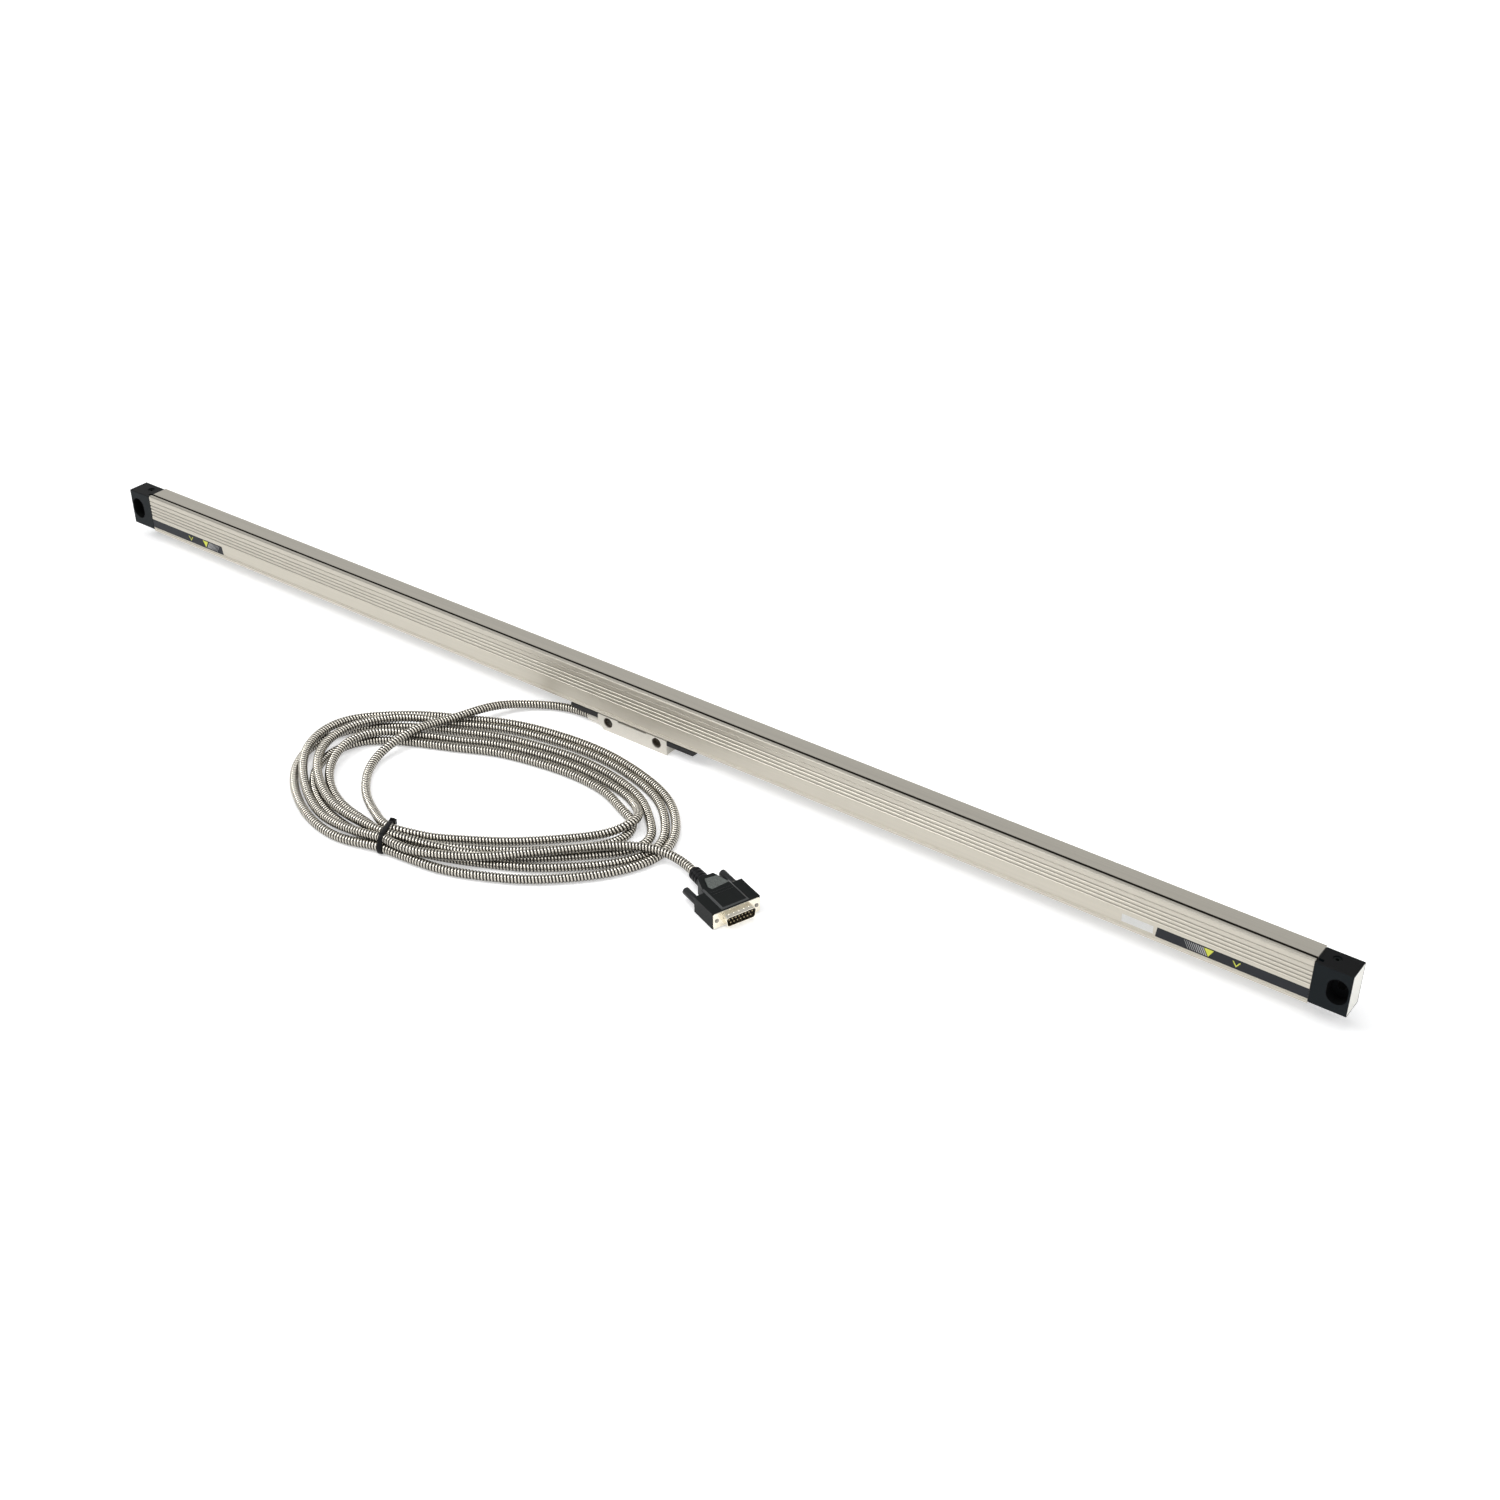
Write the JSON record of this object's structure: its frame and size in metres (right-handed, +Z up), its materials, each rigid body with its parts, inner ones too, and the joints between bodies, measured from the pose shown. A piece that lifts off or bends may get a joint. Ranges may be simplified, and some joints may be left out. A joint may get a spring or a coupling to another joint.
{
  "type": "sealed linear encoder",
  "caption": "Sealed linear glass scale: fluted aluminium housing with end blocks, a sliding reading head under it, and a coiled armoured lead with a D-shaped plug.",
  "frame": {"origin": "on the floor under the middle of the scale: centre of the housing's length and depth, at the underside of the reading head", "axes": "+X along the scale towards its right-hand end, +Y from the label face to the mounting face, +Z up"},
  "size_m": [1.208, 0.2622, 0.0502],
  "materials": {
    "housing_metal": "fine brushed, champagne anodised",
    "black_metal": "semi-matt black",
    "cast_metal": "bead-blasted casting",
    "screw_steel": "plain steel",
    "bearing_steel": "ground and polished",
    "spring_steel": "drawn",
    "black_plastic": "moulded, fine grain",
    "black_rubber": "matt",
    "board": "solder-mask green",
    "scale_glass": "polished, with a fine grating",
    "armoured_lead": null,
    "plug_steel": "tin-plated, pressed",
    "pin_gold": "gold-plated"
  },
  "bodies": {
    "scale_body": {"scale_housing": "housing_metal", "end_block_left": "black_metal", "end_block_right": "black_metal", "end_gasket_left": "black_rubber", "end_gasket_right": "black_rubber", "tongue_screws": "screw_steel", "air_port_plugs": "black_metal", "front_lip": "black_rubber", "back_lip": "black_rubber", "glass_scale": "scale_glass", "glass_wedge_strip": "black_rubber"},
    "reader_head": {"head_block": "cast_metal", "head_rear_cover": "cast_metal", "head_cover_screws": "screw_steel", "head_board": "board", "lead_clamp_screw": "screw_steel", "wiper_shoe_left": "black_plastic", "wiper_shoe_right": "black_plastic", "shoe_screws": "screw_steel", "drive_blade": "spring_steel", "blade_pins": "screw_steel", "coupling_wire": "spring_steel", "carriage_frame": "cast_metal", "roller_axles": "bearing_steel", "lamp_board": "board", "lamp_lens": "scale_glass", "detector_board": "board", "index_reticle": "scale_glass", "lead_head_end": "armoured_lead", "lead_coil": "armoured_lead", "lead_plug_end": "armoured_lead", "cable_tie": "black_plastic", "plug_hood_lower": "black_plastic", "plug_hood_upper": "black_plastic", "plug_hood_screws": "screw_steel", "plug_boot": "black_rubber", "plug_shell": "plug_steel", "plug_insulator": "black_plastic", "plug_pins": "pin_gold"},
    "face_roller_left": {"face_roller_left": "bearing_steel"},
    "face_roller_right": {"face_roller_right": "bearing_steel"},
    "face_roller_top": {"face_roller_top": "bearing_steel"},
    "edge_roller_left": {"edge_roller_left": "bearing_steel"},
    "edge_roller_right": {"edge_roller_right": "bearing_steel"},
    "jackscrew_left": {"jackscrew_left": "black_plastic"},
    "jackscrew_right": {"jackscrew_right": "black_plastic"}
  },
  "joints": [
    {"name": "head_slide", "type": "slide", "parent": "scale_body", "child": "reader_head", "axis": [1, 0, 0], "range_m": [-0.5135, 0.5065]},
    {"name": "face_roller_left_turn", "type": "hinge", "parent": "reader_head", "child": "face_roller_left", "pos_m": [-0.015, -0.00105, 0.0307], "axis": [0, 0, 1], "continuous": true},
    {"name": "face_roller_right_turn", "type": "hinge", "parent": "reader_head", "child": "face_roller_right", "pos_m": [0.022, -0.00105, 0.0307], "axis": [0, 0, 1], "continuous": true},
    {"name": "face_roller_top_turn", "type": "hinge", "parent": "reader_head", "child": "face_roller_top", "pos_m": [0.0035, -0.00105, 0.039], "axis": [0, 0, 1], "continuous": true},
    {"name": "edge_roller_left_turn", "type": "hinge", "parent": "reader_head", "child": "edge_roller_left", "pos_m": [-0.015, 0.0028, 0.02475], "axis": [0, 1, 0], "continuous": true},
    {"name": "edge_roller_right_turn", "type": "hinge", "parent": "reader_head", "child": "edge_roller_right", "pos_m": [0.022, 0.0028, 0.02475], "axis": [0, 1, 0], "continuous": true},
    {"name": "jackscrew_left_turn", "type": "hinge", "parent": "reader_head", "child": "jackscrew_left", "pos_m": [0.20511, -0.16357, 0.0073], "axis": [0.9354, -0.3535, 0], "continuous": true},
    {"name": "jackscrew_right_turn", "type": "hinge", "parent": "reader_head", "child": "jackscrew_right", "pos_m": [0.21688, -0.13242, 0.0073], "axis": [0.9354, -0.3535, 0], "continuous": true}
  ],
  "couplings": [
    {"joint": "face_roller_left_turn", "follows": "head_slide", "rad_per_m": 400},
    {"joint": "face_roller_right_turn", "follows": "head_slide", "rad_per_m": 400},
    {"joint": "face_roller_top_turn", "follows": "head_slide", "rad_per_m": 400},
    {"joint": "edge_roller_left_turn", "follows": "head_slide", "rad_per_m": -400},
    {"joint": "edge_roller_right_turn", "follows": "head_slide", "rad_per_m": -400}
  ]
}
